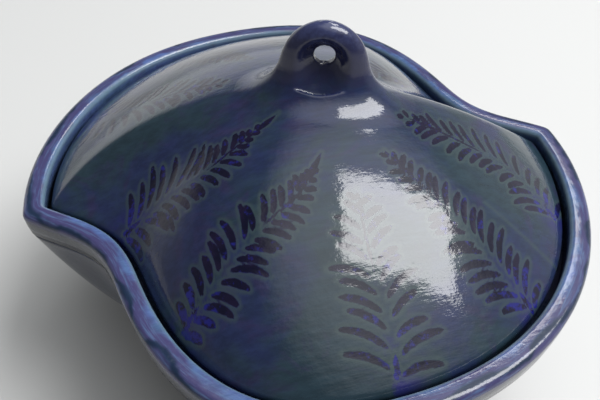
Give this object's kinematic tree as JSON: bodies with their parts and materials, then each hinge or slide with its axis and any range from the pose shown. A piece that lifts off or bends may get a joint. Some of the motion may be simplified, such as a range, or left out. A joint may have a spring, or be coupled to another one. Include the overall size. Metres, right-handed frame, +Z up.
{
  "type": "lidded butter crock",
  "caption": "Shallow flared stoneware crock with a two-cornered rim and a drop-in domed lid with a pierced pinched handle and pressed fern prints.",
  "frame": {"origin": "centre of the resting plane of the foot, under the middle of the rim", "axes": "+Z up along the lid's lift; +X through one corner of the rim; +Y across the widest part of the rim"},
  "size_m": [0.2, 0.208, 0.1372],
  "materials": {
    "fern_glaze": "glossy blue-green stoneware glaze with cobalt stain",
    "rim_glaze": "glossy lavender-blue stoneware glaze, breaking paler on edges",
    "inside_glaze": "satin blue-green stoneware glaze",
    "bare_stoneware": "bare fired stoneware, matt"
  },
  "bodies": {
    "crock": {"crock_bowl": "fern_glaze", "foot_ring": "bare_stoneware", "rim_band": "rim_glaze", "lid_gallery": "inside_glaze"},
    "lid": {"lid_dome": "fern_glaze", "lid_flange": "inside_glaze", "lid_handle": "fern_glaze"}
  },
  "joints": [
    {"name": "lid_lift", "type": "slide", "parent": "crock", "child": "lid", "axis": [0, 0, 1], "range_m": [0, 0.12]}
  ]
}
